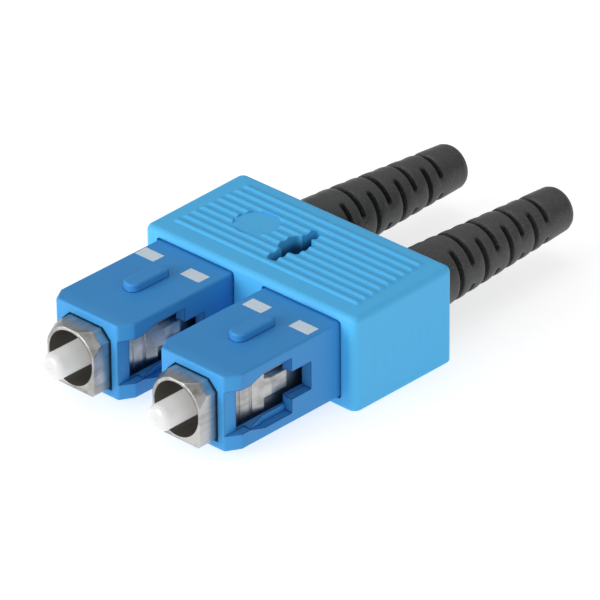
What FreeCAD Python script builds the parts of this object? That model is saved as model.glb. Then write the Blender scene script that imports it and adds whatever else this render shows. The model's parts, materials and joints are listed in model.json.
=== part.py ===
"""A duplex SC fibre-optic plug: two push-pull plugs side by side in a one-piece plastic clip.

Millimetres, +Z up.  Each plug is drawn about its own axis: X across it, Y = 0 at the front face
of its coupling sleeve with +Y towards the cable, Z = 0 on the axis.  At the end every piece is
moved into the frame of the whole part, whose origin lies under the middle of the part, on the
flat that it rests on.
"""
import FreeCAD, Part
import math
import os

V = FreeCAD.Vector

# ---------------------------------------------------------------- driving dimensions
PITCH = 12.7              # between the two plug axes

SLEEVE_W = 9.0            # coupling sleeve, outside
SLEEVE_H = 7.4
SLEEVE_L = 24.5
SLEEVE_NOSE_IN = 0.82     # how far its front side edges taper in
SLEEVE_NOSE_LONG = 1.4    # over this length
SLEEVE_EDGE = 0.22        # rounding of its long edges
SLEEVE_NOSE_EDGE = 0.35   # rounding of the upright edges of that taper
SLEEVE_FRONT_WALL = 1.5
SLEEVE_ROOF = 0.75        # wall above and below the plug frame
CHANNEL_WALL = 0.28       # what is left of the flank behind the guide channel
LATCH_ROOM = 0.6          # between the plug frame and the inside of the flank

KEY_HW = 0.82             # key rib on top of the sleeve
KEY_AT = 5.0
KEY_END = 9.35
KEY_HIGH = 0.75
KEY_NOSE_R = 0.7

WINDOW_CHANNEL_HH = 2.15  # window in the sleeve's flank: the guide channel at the front
WINDOW_HH = 2.7           # the widest part
WINDOW_SLOT_HH = 1.35     # the narrow part at the rear
WINDOW_WIDENS_AT = 2.4
WINDOW_WIDE_AT = 4.2
WINDOW_NARROW_AT = 7.5
WINDOW_END = 9.9
WINDOW_STEP = 0.12        # from the recess to the opening inside it
CAM_LONG = 2.6            # cam ledge above and below the window

FRAME_OUT = 2.0           # nose of the plug frame in front of the sleeve
FRAME_CHAMFER = 0.95      # on its two upper corners
FRAME_EDGE = 0.3          # rounding of its two lower corners
NOSE_WALL = 0.2           # beside the round bore of the nose
NOSE_RIM = 0.32           # ring round the mouth of the bore
NOSE_LEAD_L = 1.05        # from that ring back to the full square
SEAT_AT = 4.0             # the shoulder that stops the ferrule holder
SEAT_THICK = 1.0
CHAMBER_WALL = 0.35       # beside the spring chamber behind the shoulder
FLANGE_L = 1.3            # flange at the rear of the plug frame
FLANGE_PROUD = 0.25       # how far it stands above the frame

PAD_END = 3.95            # side pads of the frame, in the sleeve's window
PAD_HH = 2.05
PAD_PROUD = 0.1
RAMP_AT = 4.25            # the ramp that lifts the adapter's hook, and the catch behind it
RAMP_NARROWS_AT = 5.55
CATCH_AT = 6.3
CATCH_END = 8.2
CATCH_FOOT = 0.6
CATCH_HH = 1.2
CATCH_CHAMFER = 0.38

FERRULE_R = 1.25
FERRULE_OUT = 2.5         # tip in front of the nose
FERRULE_L = 10.5
FERRULE_TIP_R = 0.75      # flat of the tip inside its chamfer
FERRULE_TIP_L = 0.55
FERRULE_TRAVEL = 1.2      # how far the ferrule can be pushed in
FERRULE_GRIP = 3.0        # length held by the holder
GROOVE_L = 0.6            # groove in the held end, which keys it in the holder
GROOVE_DEEP = 0.18
HOLDER_WALL = 0.55        # of the holder's neck round the ferrule
HOLDER_FLANGE_L = 2.0
HOLDER_KEYWAY_HW = 0.35
HOLDER_KEYWAY_DEEP = 0.4
STEM_R = 1.05             # hollow stem of the holder
LINER_R = 0.75
LINER_WALL = 0.3
LINER_OUT = 1.65          # how far the liner leaves the stem

PLUG_TRAVEL = 1.2         # how far the sleeve can be pulled back over the plug

SPRING_WIRE = 0.45
SPRING_TURNS = 5.0
SPRING_SPARE = 1.17       # what the spring could still give with the ferrule pushed in
STOP_PLUG_L = 1.5         # spring stop: the length inside the frame
STOP_FLANGE_L = 1.1
POST_R = 1.8              # its post, on which the crimp sleeve squeezes the yarn
POST_L = 5.7
POST_BORE_R = 1.4
POST_RING_DEEP = 0.15
POST_RING_PITCH = 0.9
CRIMP_WALL = 0.35
CRIMP_TAPER_L = 0.8
CRIMP_NECK_L = 3.9

BOOT_ROOT_R = 3.08
BOOT_END_R = 2.1
BOOT_OUT = 20.8           # length behind the clip
BOOT_END_EDGE = 0.5
BOOT_TAPER_AFTER = 3.0    # the taper starts this far behind the clip
CABLE_BORE_R = 1.5
BOOT_SLOT = 0.44          # width of a bend slot
BOOT_RINGS = 4            # pairs of slot rings
BOOT_RING_AFTER = 4.7     # the first ring, behind the clip
BOOT_RING_PITCH = 3.52
BOOT_RING_STEP = 1.68     # from a side ring to the next upright one
SIDE_SLOT_ARC = 122.0     # degrees
UPRIGHT_SLOT_ARC = 142.0

CLIP_OVER = 11.05         # length of sleeve inside the clip
CLIP_BACK = 1.2           # rear wall
CLIP_SIDE = 1.66          # wall beside each sleeve
CLIP_FLOOR = 0.85
CLIP_ROOF = 0.7           # at the front, and it thickens to the back
CLIP_ROOF_RISE = 0.24
CLIP_EDGE = 0.8           # rounding of the upright and upper edges
CLIP_FOOT_EDGE = 0.25
POCKET_EDGE = 0.3
SNAP_DEEP = 0.3           # groove in the sleeve's flanks, which the clip snaps into
SNAP_W = 1.0

ROOF_RIBS = 9
ROOF_RIB_AFTER = 2.4      # the first rib, behind the front face
RIB_PITCH = 1.035
RIB_HIGH = 0.16
RIB_WIDE = 0.66
RIB_MARGIN = 1.4          # smooth border of the roof beside the ribs
RIB_FADE = 1.0
SIDE_RIBS = 8
SIDE_RIB_AFTER = 4.2
SIDE_RIB_R = 0.45
SIDE_RIB_PROUD = 0.05
SIDE_RIB_LOW = -1.85
SIDE_RIB_HIGH = 0.75
SIDE_ARCH_R = 5.4         # the curved rib in front of the straight ones
SIDE_ARCH_AFTER = 2.85

SLOT_AFTER = 2.85         # slot in the middle of the clip, behind its front face
SLOT_L = 6.3
SLOT_WIDE_AFTER = 2.0     # where it widens, and for how long
SLOT_WIDE_L = 2.6
SLOT_END_SHARE = 0.44     # its ends are this much of its widest part across
SLOT_WALL = 0.45          # left between the slot and each pocket
SLOT_DEEP = 7.0
DISC_R = 2.1              # plain round pad among the ribs
DISC_LEFT = 5.2
DISC_AFTER = 6.55

# ---------------------------------------------------------------- named clearances
RUNNING = 0.10            # plug frame in the sleeve's mouth, holder in the frame
SLIDING = 0.15            # plug frame inside the sleeve's flanks
PRESSED = 0.01            # pieces pressed into each other
FACE_GAP = 0.03           # a stop that touches at rest
SEAT_GAP = 0.3            # behind a flange that a snap catch holds
CLIP_FIT = 0.15           # coupling sleeve in its pocket
BOOT_FIT = 0.32           # soft boot in the hole of the clip and of the sleeve

# ---------------------------------------------------------------- derived sizes
HALF_PITCH = PITCH / 2
HALF_W = SLEEVE_W / 2
HALF_H = SLEEVE_H / 2
NOSE_FRONT = -FRAME_OUT
TIP = NOSE_FRONT - FERRULE_OUT

CHANNEL_FLOOR = HALF_W - SLEEVE_NOSE_IN
INSIDE_HW = CHANNEL_FLOOR - CHANNEL_WALL
MOUTH_HH = HALF_H - SLEEVE_ROOF
FRAME_HW = INSIDE_HW - LATCH_ROOM
FRAME_HH = MOUTH_HH - RUNNING
MOUTH_HW = FRAME_HW + SLIDING
LATCH_HW = INSIDE_HW - SLIDING
PAD_HW = FRAME_HW + PAD_PROUD
NOSE_BORE_R = min(FRAME_HW, FRAME_HH) - NOSE_WALL
CHAMBER_R = min(FRAME_HW, FRAME_HH) - CHAMBER_WALL
FLANGE_HH = FRAME_HH + FLANGE_PROUD

SEAT_END = SEAT_AT + SEAT_THICK
FERRULE_END = TIP + FERRULE_L
GRIP_AT = FERRULE_END - FERRULE_GRIP
NECK_R = FERRULE_R + HOLDER_WALL
HOLDER_AT = SEAT_END + FACE_GAP
HOLDER_END = HOLDER_AT + HOLDER_FLANGE_L
SPRING_SOLID = (SPRING_TURNS + 1) * SPRING_WIRE
STOP_AT = HOLDER_END + SPRING_SOLID + FERRULE_TRAVEL + SPRING_SPARE
FRAME_REAR = STOP_AT + STOP_PLUG_L
STOP_END = FRAME_REAR + STOP_FLANGE_L
STOP_FLANGE_R = FLANGE_HH - RUNNING
POST_END = STOP_END + POST_L
STEM_END = POST_END - FERRULE_TRAVEL - 1.4
LINER_END = STEM_END + LINER_OUT

LEDGE_AT = FRAME_REAR - FLANGE_L - PLUG_TRAVEL - RUNNING
SNAP_CATCH_AT = STOP_END + SEAT_GAP
BOOT_POCKET_AT = SNAP_CATCH_AT + 2.2
BOOT_HOLE_R = BOOT_ROOT_R + BOOT_FIT

CRIMP_AT = STOP_END + SEAT_GAP
CRIMP_WIDE_END = CRIMP_AT + POST_L
CRIMP_NECK_AT = CRIMP_WIDE_END + CRIMP_TAPER_L
CRIMP_END = CRIMP_NECK_AT + CRIMP_NECK_L
CRIMP_R = POST_R + RUNNING + CRIMP_WALL
CRIMP_NECK_R = CABLE_BORE_R + CRIMP_WALL

POCKET_END = SLEEVE_L + 2 * CLIP_FIT
CLIP_AT = SLEEVE_L - CLIP_OVER
CLIP_END = POCKET_END + CLIP_BACK
CLIP_L = CLIP_END - CLIP_AT
CLIP_HW = HALF_PITCH + HALF_W + CLIP_FIT + CLIP_SIDE
CLIP_BOTTOM = -(HALF_H + CLIP_FIT + CLIP_FLOOR)
CLIP_TOP_FRONT = HALF_H + CLIP_FIT + CLIP_ROOF
CLIP_TOP_BACK = CLIP_TOP_FRONT + CLIP_ROOF_RISE
POCKET_HW = HALF_W + CLIP_FIT
POCKET_HH = HALF_H + CLIP_FIT
BOOT_END = CLIP_END + BOOT_OUT
BOOT_TAPER_AT = CLIP_END + BOOT_TAPER_AFTER
BOOT_RING_AT = CLIP_END + BOOT_RING_AFTER

PART_ORIGIN = V(0, (TIP + BOOT_END) / 2, CLIP_BOTTOM)
OVER = 1.0                # how far a cutter runs past the face that it opens


# ---------------------------------------------------------------- shared shapes
def box(x0, x1, y0, y1, z0, z1):
    return Part.makeBox(x1 - x0, y1 - y0, z1 - z0, V(x0, y0, z0))


def rod(radius, y0, y1):
    return Part.makeCylinder(radius, y1 - y0, V(0, y0, 0), V(0, 1, 0))


def tube(outer, inner, y0, y1):
    return rod(outer, y0, y1).cut(rod(inner, y0 - OVER, y1 + OVER))


def prism(points, along):
    face = Part.Face(Part.makePolygon(points + [points[0]]))
    return face.extrude(along)


def along_y(outline_xz, y0, y1):
    return prism([V(x, y0, z) for x, z in outline_xz], V(0, y1 - y0, 0))


def along_x(outline_yz, x0, x1):
    return prism([V(x0, y, z) for y, z in outline_yz], V(x1 - x0, 0, 0))


def along_z(outline_xy, z0, z1):
    return prism([V(x, y, z0) for x, y in outline_xy], V(0, 0, z1 - z0))


def turned(profile_ry):
    """A solid turned about the plug axis from points (radius, y)."""
    face = Part.Face(Part.makePolygon([V(r, y, 0) for r, y in profile_ry + [profile_ry[0]]]))
    return face.revolve(V(0, 0, 0), V(0, 1, 0), 360)


def mirrored_x(shape):
    return shape.mirror(V(0, 0, 0), V(1, 0, 0))


def mirrored_z(shape):
    return shape.mirror(V(0, 0, 0), V(0, 0, 1))


def union(shapes):
    first = shapes[0]
    return first.fuse(shapes[1:]).removeSplitter() if len(shapes) > 1 else first


def edges_where(shape, test):
    """Edges whose middle point, and direction there, pass the test."""
    found = []
    for edge in shape.Edges:
        middle = (edge.FirstParameter + edge.LastParameter) / 2
        if not edge.Degenerated and test(edge.valueAt(middle), edge.tangentAt(middle)):
            found.append(edge)
    return found


def rounded(shape, radius, test):
    edges = edges_where(shape, test)
    return shape.makeFillet(radius, edges) if edges else shape


def nose_outline(half_w, half_h, chamfer):
    """Square with its two upper corners cut off, seen from the front."""
    return [(-half_w, -half_h), (half_w, -half_h), (half_w, half_h - chamfer),
            (half_w - chamfer, half_h), (chamfer - half_w, half_h), (-half_w, half_h - chamfer)]


# ---------------------------------------------------------------- pieces of one plug
def ferrule():
    """White ceramic pin with a chamfered tip; a groove keys its held end in the holder."""
    rear_edge = 0.15
    groove_r = FERRULE_R - GROOVE_DEEP
    body = turned([(0, TIP), (FERRULE_TIP_R, TIP), (FERRULE_R, TIP + FERRULE_TIP_L),
                   (FERRULE_R, GRIP_AT), (groove_r, GRIP_AT), (groove_r, GRIP_AT + GROOVE_L),
                   (FERRULE_R, GRIP_AT + GROOVE_L), (FERRULE_R, FERRULE_END - rear_edge),
                   (FERRULE_R - rear_edge, FERRULE_END), (0, FERRULE_END)])
    return rounded(body, 0.16, lambda at, way: at.y < TIP + FERRULE_TIP_L + 0.01
                   and math.hypot(at.x, at.z) > 0.5 * FERRULE_TIP_R and abs(way.y) < 0.01)


def ferrule_holder():
    """Metal flange pressed on the ferrule, with the hollow stem that carries the liner."""
    mouth_edge = 0.15
    flange_r = CHAMBER_R - RUNNING
    body = turned([(0, GRIP_AT), (NECK_R - mouth_edge, GRIP_AT), (NECK_R, GRIP_AT + mouth_edge),
                   (NECK_R, HOLDER_AT), (flange_r, HOLDER_AT), (flange_r, HOLDER_END),
                   (STEM_R, HOLDER_END), (STEM_R, STEM_END), (0, STEM_END)])
    bore = rod(FERRULE_R + PRESSED, GRIP_AT - OVER, FERRULE_END + PRESSED)
    liner_bore = rod(LINER_R + PRESSED, FERRULE_END - OVER, STEM_END + OVER)
    keyway = box(-HOLDER_KEYWAY_HW, HOLDER_KEYWAY_HW, HOLDER_AT - OVER, HOLDER_END + OVER,
                 flange_r - HOLDER_KEYWAY_DEEP, flange_r + OVER)
    return body.cut([bore, liner_bore, keyway, mirrored_z(keyway)])


def liner():
    """Thin plastic tube that leads the fibre through the stem to the cable."""
    return tube(LINER_R, LINER_R - LINER_WALL, FERRULE_END + 2 * PRESSED, LINER_END)


def spring():
    """Compression spring between the holder's flange and the spring stop."""
    start = HOLDER_END + FACE_GAP
    length = STOP_AT - FACE_GAP - start
    middle_r = (STEM_R + CHAMBER_R) / 2
    half_wire = SPRING_WIRE / 2
    rise = (length - SPRING_WIRE) / SPRING_TURNS
    path = Part.makeHelix(rise, rise * SPRING_TURNS, middle_r)
    circle = Part.Circle(V(middle_r, 0, 0), V(0, 1, 0), half_wire)
    coil = Part.Wire(path.Edges).makePipeShell([Part.Wire([circle.toShape()])], True, True)
    coil.rotate(V(0, 0, 0), V(1, 0, 0), -90)
    coil.translate(V(0, start + half_wire, 0))
    return coil


def latch_side():
    """The pads, ramp and catch on the +X side of the plug frame, for the adapter's hooks."""
    root = FRAME_HW - 0.3
    far = LATCH_HW + OVER
    shoulder = LATCH_HW - CATCH_CHAMFER
    pad_at = SLEEVE_FRONT_WALL + PLUG_TRAVEL + RUNNING
    pads = box(root, PAD_HW, pad_at, PAD_END, -PAD_HH, PAD_HH)
    ramp = along_z([(root, RAMP_AT), (PAD_HW, RAMP_AT), (LATCH_HW, CATCH_AT),
                    (LATCH_HW, CATCH_END), (root, CATCH_END + CATCH_FOOT)], -PAD_HH, PAD_HH)
    narrow = along_y([(0, -CATCH_HH), (shoulder, -CATCH_HH), (shoulder + CATCH_HH, 0),
                      (shoulder, CATCH_HH), (0, CATCH_HH)], RAMP_NARROWS_AT, CATCH_END + OVER)
    wide = box(0, far, RAMP_AT - OVER, RAMP_NARROWS_AT, -PAD_HH, PAD_HH)
    return union([pads, ramp.common(union([narrow, wide]))])


def nose_lead():
    """Cutter that leaves a ring round the bore and slopes back to the square at the upper corners."""
    ring_r = NOSE_BORE_R + NOSE_RIM
    lead_end = NOSE_FRONT + NOSE_LEAD_L
    cone = Part.makeCone(ring_r, ring_r + NOSE_LEAD_L / 2, NOSE_LEAD_L,
                         V(0, NOSE_FRONT, 0), V(0, 1, 0))
    front = rod(ring_r, NOSE_FRONT - 2 * OVER, NOSE_FRONT)
    upper = box(-2 * FRAME_HW, 2 * FRAME_HW, NOSE_FRONT - OVER, lead_end, 0.4, 2 * FRAME_HH)
    return upper.cut(union([cone, front]))


def plug_frame():
    """Nickel-plated frame: square nose with a round bore, the latch catches and a rear flange."""
    body = along_y(nose_outline(FRAME_HW, FRAME_HH, FRAME_CHAMFER), NOSE_FRONT, FRAME_REAR)
    body = rounded(body, FRAME_EDGE, lambda at, way: at.z < 0.01 - FRAME_HH and abs(way.y) > 0.9)
    body = body.cut(nose_lead())
    flange = box(-LATCH_HW, LATCH_HW, FRAME_REAR - FLANGE_L, FRAME_REAR, -FLANGE_HH, FLANGE_HH)
    flange = rounded(flange, 0.4, lambda at, way: abs(way.y) > 0.9)
    body = union([body, latch_side(), mirrored_x(latch_side()), flange])
    return body.cut([rod(NOSE_BORE_R, NOSE_FRONT - OVER, SEAT_AT),
                     rod(NECK_R + RUNNING, SEAT_AT - OVER, SEAT_END + OVER),
                     rod(CHAMBER_R, SEAT_END, FRAME_REAR + OVER)])


def spring_stop():
    """Turned metal plug that closes the spring chamber; the crimp sleeve grips its ringed post."""
    plug_r = CHAMBER_R - PRESSED
    ring_r = POST_R - POST_RING_DEEP
    profile = [(POST_BORE_R, STOP_AT), (plug_r, STOP_AT), (plug_r, FRAME_REAR),
               (STOP_FLANGE_R, FRAME_REAR), (STOP_FLANGE_R, STOP_END), (POST_R, STOP_END)]
    ring_at = STOP_END + POST_RING_PITCH
    while ring_at < POST_END - POST_RING_PITCH:
        ring_end = ring_at + POST_RING_PITCH / 2
        profile += [(POST_R, ring_at), (ring_r, ring_at + POST_RING_DEEP),
                    (ring_r, ring_end - POST_RING_DEEP), (POST_R, ring_end)]
        ring_at += POST_RING_PITCH
    post_edge = 0.2
    profile += [(POST_R, POST_END - post_edge), (POST_R - post_edge, POST_END),
                (POST_BORE_R, POST_END)]
    return turned(profile)


def crimp_sleeve():
    """Aluminium sleeve: wide over the post, narrow over the cable."""
    inside = CRIMP_R - CRIMP_WALL
    return turned([(inside, CRIMP_AT), (CRIMP_R, CRIMP_AT), (CRIMP_R, CRIMP_WIDE_END),
                   (CRIMP_NECK_R, CRIMP_NECK_AT), (CRIMP_NECK_R, CRIMP_END),
                   (CABLE_BORE_R, CRIMP_END), (CABLE_BORE_R, CRIMP_NECK_AT),
                   (inside, CRIMP_WIDE_END)])


def ring_slot(at, middle_angle, arc):
    """Cutter for one bend slot: a slice of a ring, from the cable bore out through the skin."""
    ring = tube(BOOT_ROOT_R + OVER, CABLE_BORE_R - 0.2, at - BOOT_SLOT / 2, at + BOOT_SLOT / 2)
    reach = 2 * BOOT_ROOT_R + OVER
    wedge = [(0, 0)]
    for step in range(5):
        angle = math.radians(middle_angle - arc / 2 + arc * step / 4)
        wedge.append((reach * math.cos(angle), reach * math.sin(angle)))
    return ring.common(along_y(wedge, at - BOOT_SLOT, at + BOOT_SLOT))


def boot():
    """Soft tapered sleeve over the crimp, with rings of slots so that it bends."""
    front = STOP_END + FACE_GAP
    front_r = min(STOP_FLANGE_R - 0.2, BOOT_ROOT_R)
    crimp_r = CRIMP_R + PRESSED
    neck_r = CRIMP_NECK_R + PRESSED
    neck_end = CRIMP_END + 0.13
    shoulder_at = BOOT_POCKET_AT + PLUG_TRAVEL
    body = turned([(crimp_r, front), (front_r, front), (front_r, shoulder_at),
                   (BOOT_ROOT_R, shoulder_at + 0.6), (BOOT_ROOT_R, BOOT_TAPER_AT),
                   (BOOT_END_R, BOOT_END), (CABLE_BORE_R, BOOT_END),
                   (CABLE_BORE_R, neck_end + 0.6), (neck_r, neck_end), (neck_r, CRIMP_NECK_AT + 0.03),
                   (crimp_r, CRIMP_WIDE_END + 0.03)])
    body = rounded(body, BOOT_END_EDGE, lambda at, way: at.y > BOOT_END - 0.01
                   and math.hypot(at.x, at.z) > CABLE_BORE_R + 0.2)
    slots = []
    for ring in range(BOOT_RINGS):
        side_at = BOOT_RING_AT + ring * BOOT_RING_PITCH
        for turn in (0, 180):
            slots.append(ring_slot(side_at, turn, SIDE_SLOT_ARC))
            slots.append(ring_slot(side_at + BOOT_RING_STEP, 90 + turn, UPRIGHT_SLOT_ARC))
    return body.cut(slots)


def sleeve_window():
    """Cutters on the +X side of the sleeve: guide channel, window with its recess, cam ledges."""
    upper = [(-OVER, WINDOW_CHANNEL_HH), (WINDOW_WIDENS_AT, WINDOW_CHANNEL_HH),
             (WINDOW_WIDE_AT, WINDOW_HH), (WINDOW_NARROW_AT, WINDOW_HH),
             (WINDOW_NARROW_AT, WINDOW_SLOT_HH), (WINDOW_END, WINDOW_SLOT_HH)]
    outline = upper + [(y, -z) for y, z in reversed(upper)]
    recess = along_x(outline, CHANNEL_FLOOR, HALF_W + OVER)
    open_hh = WINDOW_CHANNEL_HH - RUNNING
    slot_hh = WINDOW_SLOT_HH - WINDOW_STEP
    through = union([box(0, HALF_W, SLEEVE_FRONT_WALL, WINDOW_NARROW_AT, -open_hh, open_hh),
                     box(0, HALF_W, SLEEVE_FRONT_WALL, WINDOW_END, -slot_hh, slot_hh)])
    cam = along_z([(CHANNEL_FLOOR - 0.1, WINDOW_WIDENS_AT), (HALF_W - 0.1, WINDOW_WIDENS_AT),
                   (CHANNEL_FLOOR - 0.1, WINDOW_WIDENS_AT + CAM_LONG)], open_hh, WINDOW_HH + 0.1)
    recess = recess.cut([cam, mirrored_z(cam)])
    return union([recess, through])


def snap_bar(depth_in, width, out):
    """Bar along Z in the +X flank of a sleeve, where the clip snaps into it."""
    middle = (CLIP_AT + POCKET_END) / 2
    return box(HALF_W - depth_in, HALF_W + out, middle - width / 2, middle + width / 2,
               -HALF_H / 2, HALF_H / 2)


def key_rib():
    """The rib on top that lets the plug into an adapter only one way up."""
    top = HALF_H + KEY_HIGH
    key = box(-KEY_HW, KEY_HW, KEY_AT, KEY_END, HALF_H - 0.3, top)
    key = rounded(key, KEY_NOSE_R, lambda at, way: abs(way.z) > 0.9 and at.y < KEY_AT + 0.01)
    return rounded(key, SLEEVE_EDGE, lambda at, way: at.z > top - 0.01)


def coupling_sleeve():
    """Outer sleeve that slides on the plug frame; its cams free the adapter's hooks."""
    nose_hw = HALF_W - SLEEVE_NOSE_IN
    body = along_z([(-nose_hw, 0), (nose_hw, 0), (HALF_W, SLEEVE_NOSE_LONG), (HALF_W, SLEEVE_L),
                    (-HALF_W, SLEEVE_L), (-HALF_W, SLEEVE_NOSE_LONG)], -HALF_H, HALF_H)
    body = rounded(body, SLEEVE_NOSE_EDGE, lambda at, way: abs(way.z) > 0.9
                   and at.y < SLEEVE_NOSE_LONG + 0.01)
    body = rounded(body, SLEEVE_EDGE, lambda at, way: abs(at.z) > HALF_H - 0.01
                   and at.y < SLEEVE_L - 0.01)
    body = union([body, key_rib()])
    flange_hh = FLANGE_HH + RUNNING
    inside = [along_y(nose_outline(MOUTH_HW, MOUTH_HH, FRAME_CHAMFER), -OVER, LEDGE_AT),
              box(-INSIDE_HW, INSIDE_HW, SLEEVE_FRONT_WALL, LEDGE_AT, -MOUTH_HH, MOUTH_HH),
              box(-INSIDE_HW, INSIDE_HW, LEDGE_AT, BOOT_POCKET_AT, -flange_hh, flange_hh),
              rod(BOOT_HOLE_R, BOOT_POCKET_AT, SLEEVE_L + OVER)]
    window = sleeve_window()
    groove = snap_bar(SNAP_DEEP, SNAP_W, OVER)
    body = body.cut(inside + [window, mirrored_x(window), groove, mirrored_x(groove)])
    catch_hw = INSIDE_HW / 2
    catch = along_x([(SNAP_CATCH_AT, flange_hh + 0.2), (SNAP_CATCH_AT, STOP_FLANGE_R),
                     (SNAP_CATCH_AT + 0.5, flange_hh + 0.2)], -catch_hw, catch_hw)
    return union([body, catch, mirrored_z(catch)])


# ---------------------------------------------------------------- the clip
def roof_z(y):
    """Height of the clip's sloping roof."""
    return CLIP_TOP_FRONT + CLIP_ROOF_RISE * (y - CLIP_AT) / CLIP_L


def roof_ribs():
    """Low rounded grip ribs across the roof, which fade out at both ends."""
    bow_r = ((RIB_WIDE / 2) ** 2 + RIB_HIGH ** 2) / (2 * RIB_HIGH)
    half_long = CLIP_HW - RIB_MARGIN
    rib_top = CLIP_TOP_BACK + RIB_HIGH
    ribs = []
    for number in range(ROOF_RIBS):
        y = CLIP_AT + ROOF_RIB_AFTER + number * RIB_PITCH
        centre_z = roof_z(y) + RIB_HIGH - bow_r
        ribs.append(Part.makeCylinder(bow_r, 2 * half_long, V(-half_long, y, centre_z), V(1, 0, 0)))
    fade = along_y([(-half_long, CLIP_TOP_FRONT - OVER), (half_long, CLIP_TOP_FRONT - OVER),
                    (half_long, CLIP_TOP_FRONT), (half_long - RIB_FADE, rib_top),
                    (RIB_FADE - half_long, rib_top), (-half_long, CLIP_TOP_FRONT)],
                   CLIP_AT, CLIP_END)
    return [rib.common(fade) for rib in ribs]


def side_fade(middle_z, tall):
    """Drum along the clip: it stands proud of the flank by a rib's height at its middle only."""
    drum_r = ((tall / 2) ** 2 + SIDE_RIB_PROUD ** 2) / (2 * SIDE_RIB_PROUD)
    centre = V(CLIP_HW + SIDE_RIB_PROUD - drum_r, CLIP_AT, middle_z)
    return Part.makeCylinder(drum_r, CLIP_L, centre, V(0, 1, 0))


def side_ribs():
    """Low upright grip ribs on the +X flank, with the curved one in front; their ends fade out."""
    centre_x = CLIP_HW + SIDE_RIB_PROUD - SIDE_RIB_R
    tall = SIDE_RIB_HIGH - SIDE_RIB_LOW
    ribs = []
    for number in range(SIDE_RIBS):
        y = CLIP_AT + SIDE_RIB_AFTER + number * RIB_PITCH
        ribs.append(Part.makeCylinder(SIDE_RIB_R, tall, V(centre_x, y, SIDE_RIB_LOW), V(0, 0, 1)))
    arch_y = CLIP_AT + SIDE_ARCH_AFTER - SIDE_ARCH_R
    arch_z = (SIDE_RIB_LOW + SIDE_RIB_HIGH) / 2
    arch = Part.makeTorus(SIDE_ARCH_R, SIDE_RIB_R, V(centre_x, arch_y, arch_z), V(1, 0, 0))
    arch_tall = tall + 1.2
    keep = box(0, CLIP_HW + OVER, arch_y, CLIP_END, arch_z - arch_tall / 2, arch_z + arch_tall / 2)
    faded = [rib.common(side_fade(arch_z, tall)) for rib in ribs]
    return faded + [arch.common(keep).common(side_fade(arch_z, arch_tall))]


def middle_slot():
    """Deep slot between the two pockets, wider in its middle."""
    half_wide = HALF_PITCH - POCKET_HW - SLOT_WALL
    half_narrow = half_wide * SLOT_END_SHARE
    floor, top = CLIP_TOP_FRONT - SLOT_DEEP, CLIP_TOP_BACK + OVER
    slot_at = CLIP_AT + SLOT_AFTER
    wide_at = slot_at + SLOT_WIDE_AFTER
    narrow = box(-half_narrow, half_narrow, slot_at, slot_at + SLOT_L, floor, top)
    narrow = rounded(narrow, 0.55 * half_narrow, lambda at, way: abs(way.z) > 0.9)
    wide = box(-half_wide, half_wide, wide_at, wide_at + SLOT_WIDE_L, floor, top)
    wide = rounded(wide, 0.4 * half_wide, lambda at, way: abs(way.z) > 0.9)
    return union([narrow, wide])


def duplex_clip():
    """One-piece clip: a block with two pockets for the sleeves and a hole behind each for a boot."""
    body = along_x([(CLIP_AT, CLIP_BOTTOM), (CLIP_END, CLIP_BOTTOM), (CLIP_END, CLIP_TOP_BACK),
                    (CLIP_AT, CLIP_TOP_FRONT)], -CLIP_HW, CLIP_HW)
    body = rounded(body, CLIP_EDGE, lambda at, way: abs(way.z) > 0.9)
    body = rounded(body, CLIP_EDGE * 0.75, lambda at, way: at.z > CLIP_TOP_FRONT - 0.01)
    body = rounded(body, CLIP_FOOT_EDGE, lambda at, way: at.z < CLIP_BOTTOM + 0.01)
    body = union([body] + roof_ribs() + side_ribs() + [mirrored_x(rib) for rib in side_ribs()])
    disc_y = CLIP_AT + DISC_AFTER
    disc = Part.makeCylinder(DISC_R, OVER, V(-DISC_LEFT, disc_y, roof_z(disc_y)))
    cutters = [middle_slot(), disc]
    for side in (-1, 1):
        pocket = box(-POCKET_HW, POCKET_HW, CLIP_AT - OVER, POCKET_END, -POCKET_HH, POCKET_HH)
        pocket = rounded(pocket, POCKET_EDGE, lambda at, way: abs(way.y) > 0.9)
        rib = snap_bar(SNAP_DEEP - CLIP_FIT, SNAP_W - 2 * RUNNING, CLIP_FIT + OVER)
        pocket = pocket.cut([rib, mirrored_x(rib)])
        hole = rod(BOOT_HOLE_R, POCKET_END - OVER, CLIP_END + OVER)
        for cutter in (pocket, hole):
            cutter.translate(V(side * HALF_PITCH, 0, 0))
            cutters.append(cutter)
    return body.cut(cutters)


# ---------------------------------------------------------------- the whole part
PLUG_PIECES = {
    "ferrule": ferrule,
    "ferrule_holder": ferrule_holder,
    "fibre_liner": liner,
    "spring": spring,
    "plug_frame": plug_frame,
    "spring_stop": spring_stop,
    "crimp_sleeve": crimp_sleeve,
    "boot": boot,
    "coupling_sleeve": coupling_sleeve,
}


def write(name, shape):
    shape.translate(PART_ORIGIN * -1)
    if not shape.isValid() or len(shape.Solids) != 1:
        raise ValueError(f"{name}: {len(shape.Solids)} solids, valid {shape.isValid()}")
    shape.Solids[0].exportStep(f"parts/{name}.step")
    low, high = shape.BoundBox.YMin, shape.BoundBox.YMax
    print(f"{name:24s} volume {shape.Volume:8.2f} mm3  y {low:7.2f} to {high:7.2f}")


os.makedirs("parts", exist_ok=True)
for piece, make in PLUG_PIECES.items():
    for side_name, side in (("left", -1), ("right", 1)):
        solid = make()
        solid.translate(V(side * HALF_PITCH, 0, 0))
        write(f"{side_name}_{piece}", solid)
write("duplex_clip", duplex_clip())
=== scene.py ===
# %% [markdown]
# # A duplex fibre plug
#
# Two push-pull fibre plugs stand side by side in a moulded clip.  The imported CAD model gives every
# piece its place and its true size.  Here each piece gets its finish, and the soft or fine ones,
# such as the boots and the springs, get a mesh of their own.  Lengths are in metres, so small
# things are easier to say with a name for one millimetre.

# %% Load the frame
import json
import math

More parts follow.
